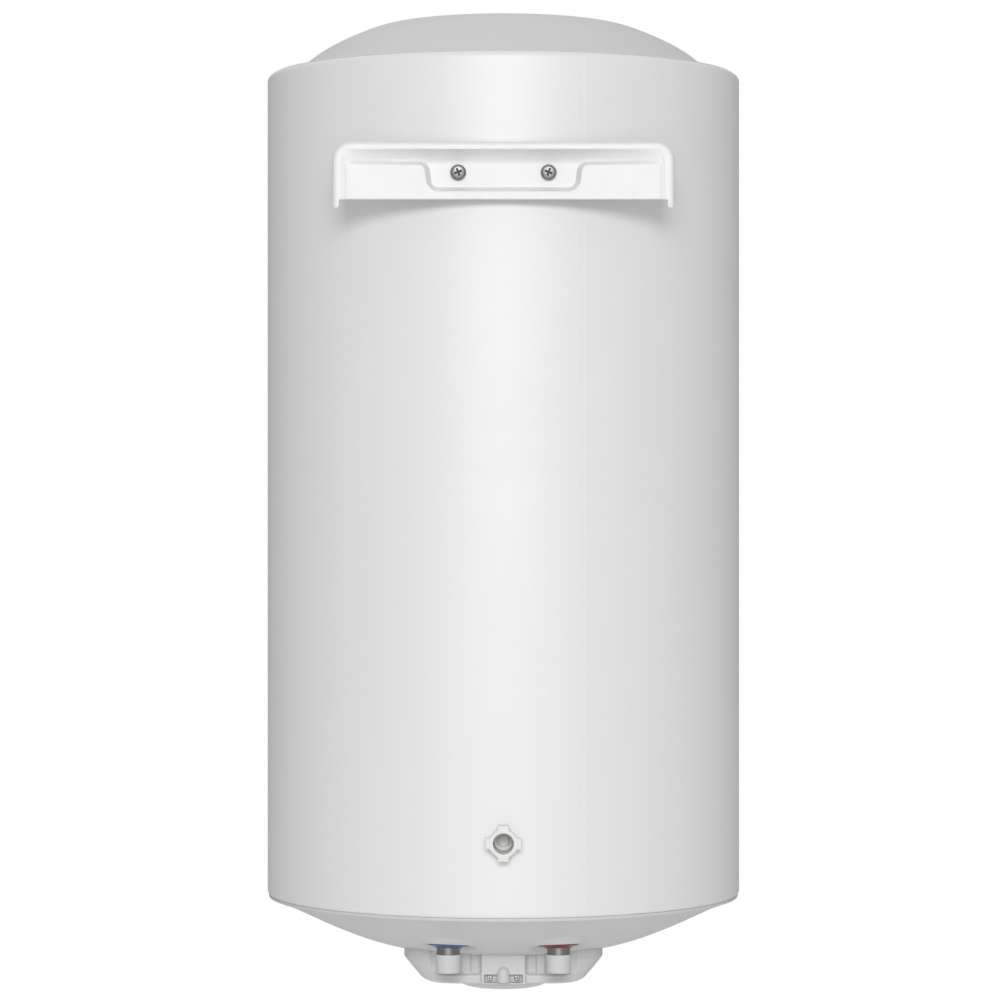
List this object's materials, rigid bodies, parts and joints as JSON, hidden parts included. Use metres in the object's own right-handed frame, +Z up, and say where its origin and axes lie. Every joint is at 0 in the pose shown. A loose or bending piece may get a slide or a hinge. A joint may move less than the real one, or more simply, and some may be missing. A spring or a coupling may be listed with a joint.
{
  "type": "tank water heater",
  "caption": "Wall-hung electric storage water heater: a white cylindrical casing with domed end covers, a rear hanging bracket, pipe stubs and an electric cover below.",
  "frame": {"origin": "middle of the bracket's lower strip, on the face that lies against the wall", "axes": "+Z up, along the tank's axis; +Y into the wall; the front with its thermometer faces -Y; the cold pipe is at +X and the hot pipe at -X"},
  "size_m": [0.445, 0.4642, 0.9095],
  "materials": {
    "casing_paint": "satin",
    "bracket_paint": "satin",
    "cover_plastic": "satin",
    "white_plastic": "satin",
    "zinc_steel": "satin",
    "dark_steel": "polished",
    "bare_steel": "satin",
    "enamel_steel": "satin",
    "foam": "matte",
    "rubber": "matte",
    "copper": "satin",
    "magnesium": "matte",
    "blue_plastic": "satin",
    "red_plastic": "satin",
    "brown_insulation": "satin",
    "green_insulation": "satin",
    "amber_lens": "gloss",
    "black_plastic": "satin",
    "glass": "gloss"
  },
  "bodies": {
    "heater": {"outer_casing": "casing_paint", "top_cover": "cover_plastic", "bottom_cover": "cover_plastic", "foam_insulation": "foam", "inner_tank": "enamel_steel", "tank_hanger": "bare_steel", "wall_bracket": "bracket_paint", "bracket_screw_left": "zinc_steel", "bracket_screw_right": "zinc_steel", "wall_spacer": "white_plastic", "spacer_bung": "white_plastic", "cold_nipple": "dark_steel", "cold_rosette": "blue_plastic", "inlet_diffuser": "white_plastic", "hot_nipple": "dark_steel", "hot_rosette": "red_plastic", "hot_outlet_tube": "bare_steel", "flange_collar": "bare_steel", "flange_gasket": "rubber", "flange_plate": "zinc_steel", "flange_bolt_1": "zinc_steel", "flange_bolt_2": "zinc_steel", "flange_bolt_3": "zinc_steel", "flange_bolt_4": "zinc_steel", "flange_bolt_5": "zinc_steel", "flange_bolt_6": "zinc_steel", "heating_element": "copper", "anode_rod": "magnesium", "anode_nut": "zinc_steel", "thermowell": "copper", "sensor_rod": "bare_steel", "thermostat_body": "black_plastic", "terminal_block": "white_plastic", "earth_screw": "zinc_steel", "wire_live": "brown_insulation", "wire_neutral": "blue_plastic", "wire_earth": "green_insulation", "element_wire_live": "brown_insulation", "element_wire_neutral": "blue_plastic", "electric_cover": "cover_plastic", "indicator_lens": "amber_lens", "cord_clamp": "cover_plastic", "clamp_screw_left": "zinc_steel", "clamp_screw_right": "zinc_steel", "cover_screw_1": "zinc_steel", "cover_screw_2": "zinc_steel", "cover_screw_3": "zinc_steel", "cover_screw_4": "zinc_steel", "thermometer_case": "black_plastic", "thermometer_dial": "white_plastic", "thermometer_glass": "glass", "thermometer_bezel": "zinc_steel"},
    "knob": {"temperature_knob": "white_plastic", "thermostat_spindle": "white_plastic"},
    "needle": {"thermometer_needle": "red_plastic"},
    "cold_cap": {"cold_thread_cap": "white_plastic"},
    "hot_cap": {"hot_thread_cap": "white_plastic"},
    "reset_button": {"cutout_button": "red_plastic"}
  },
  "joints": [
    {"name": "knob_turn", "type": "hinge", "parent": "heater", "child": "knob", "pos_m": [0, -0.2365, -0.724], "axis": [0, 0, -1], "range_deg": [0, 270]},
    {"name": "needle_turn", "type": "hinge", "parent": "heater", "child": "needle", "pos_m": [0, -0.455, -0.50985], "axis": [0, 1, 0], "range_deg": [0, 270]},
    {"name": "cold_cap_slide", "type": "slide", "parent": "heater", "child": "cold_cap", "axis": [0, 0, -1], "range_m": [0, 0.04]},
    {"name": "hot_cap_slide", "type": "slide", "parent": "heater", "child": "hot_cap", "axis": [0, 0, -1], "range_m": [0, 0.04]},
    {"name": "reset_press", "type": "slide", "parent": "heater", "child": "reset_button", "axis": [0, 0, 1], "range_m": [0, 0.002], "stiffness_N_per_m": 400}
  ]
}
